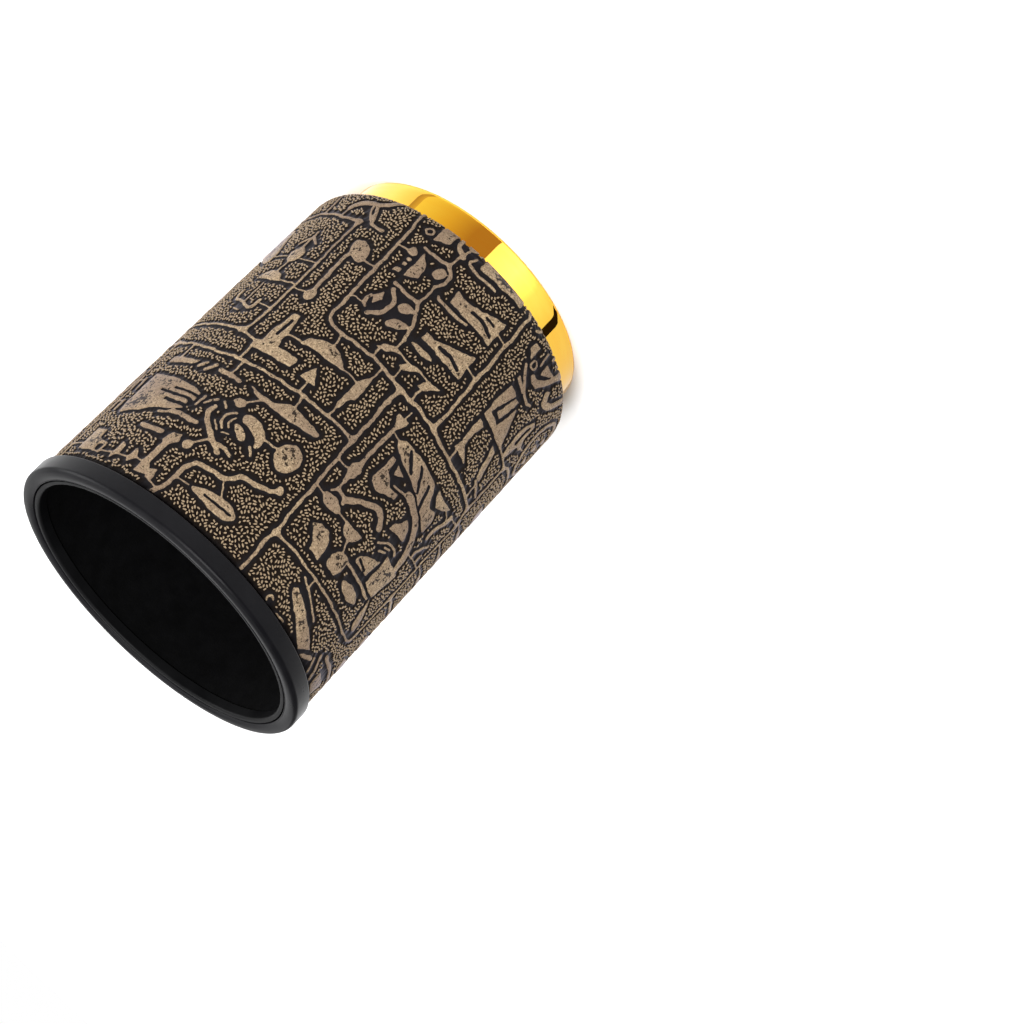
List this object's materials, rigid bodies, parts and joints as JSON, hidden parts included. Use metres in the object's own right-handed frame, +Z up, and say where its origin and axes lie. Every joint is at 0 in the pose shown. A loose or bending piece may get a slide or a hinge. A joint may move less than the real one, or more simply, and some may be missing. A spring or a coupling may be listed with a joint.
{
  "type": "dice cup",
  "caption": "Straight-sided leather-covered dice cup: black moulded cup lined with felt, a black ring round the mouth, embossed leather round the wall, and a gold ring foot.",
  "frame": {"origin": "centre of the foot, in the plane that the cup stands on", "axes": "+Z up the cup's axis from the foot to the mouth; the leather's seam is on the +Y side, so -Y is the front"},
  "size_m": [0.08, 0.08, 0.108],
  "materials": {
    "inner_cup": "black moulded plastic, satin",
    "mouth_rim": "satin black with fine handling marks",
    "leather_wrap": "embossed, near-black ground with rubbed tan-bronze tops",
    "wall_felt": "black felt",
    "floor_felt": "black felt",
    "base_cap": "mirror-bright gold plating",
    "foot_pad": "matt black sheet"
  },
  "bodies": {
    "root": {"inner_cup": "inner_cup", "mouth_rim": "mouth_rim", "leather_wrap": "leather_wrap", "wall_felt": "wall_felt", "floor_felt": "floor_felt", "base_cap": "base_cap", "foot_pad": "foot_pad"}
  },
  "joints": []
}
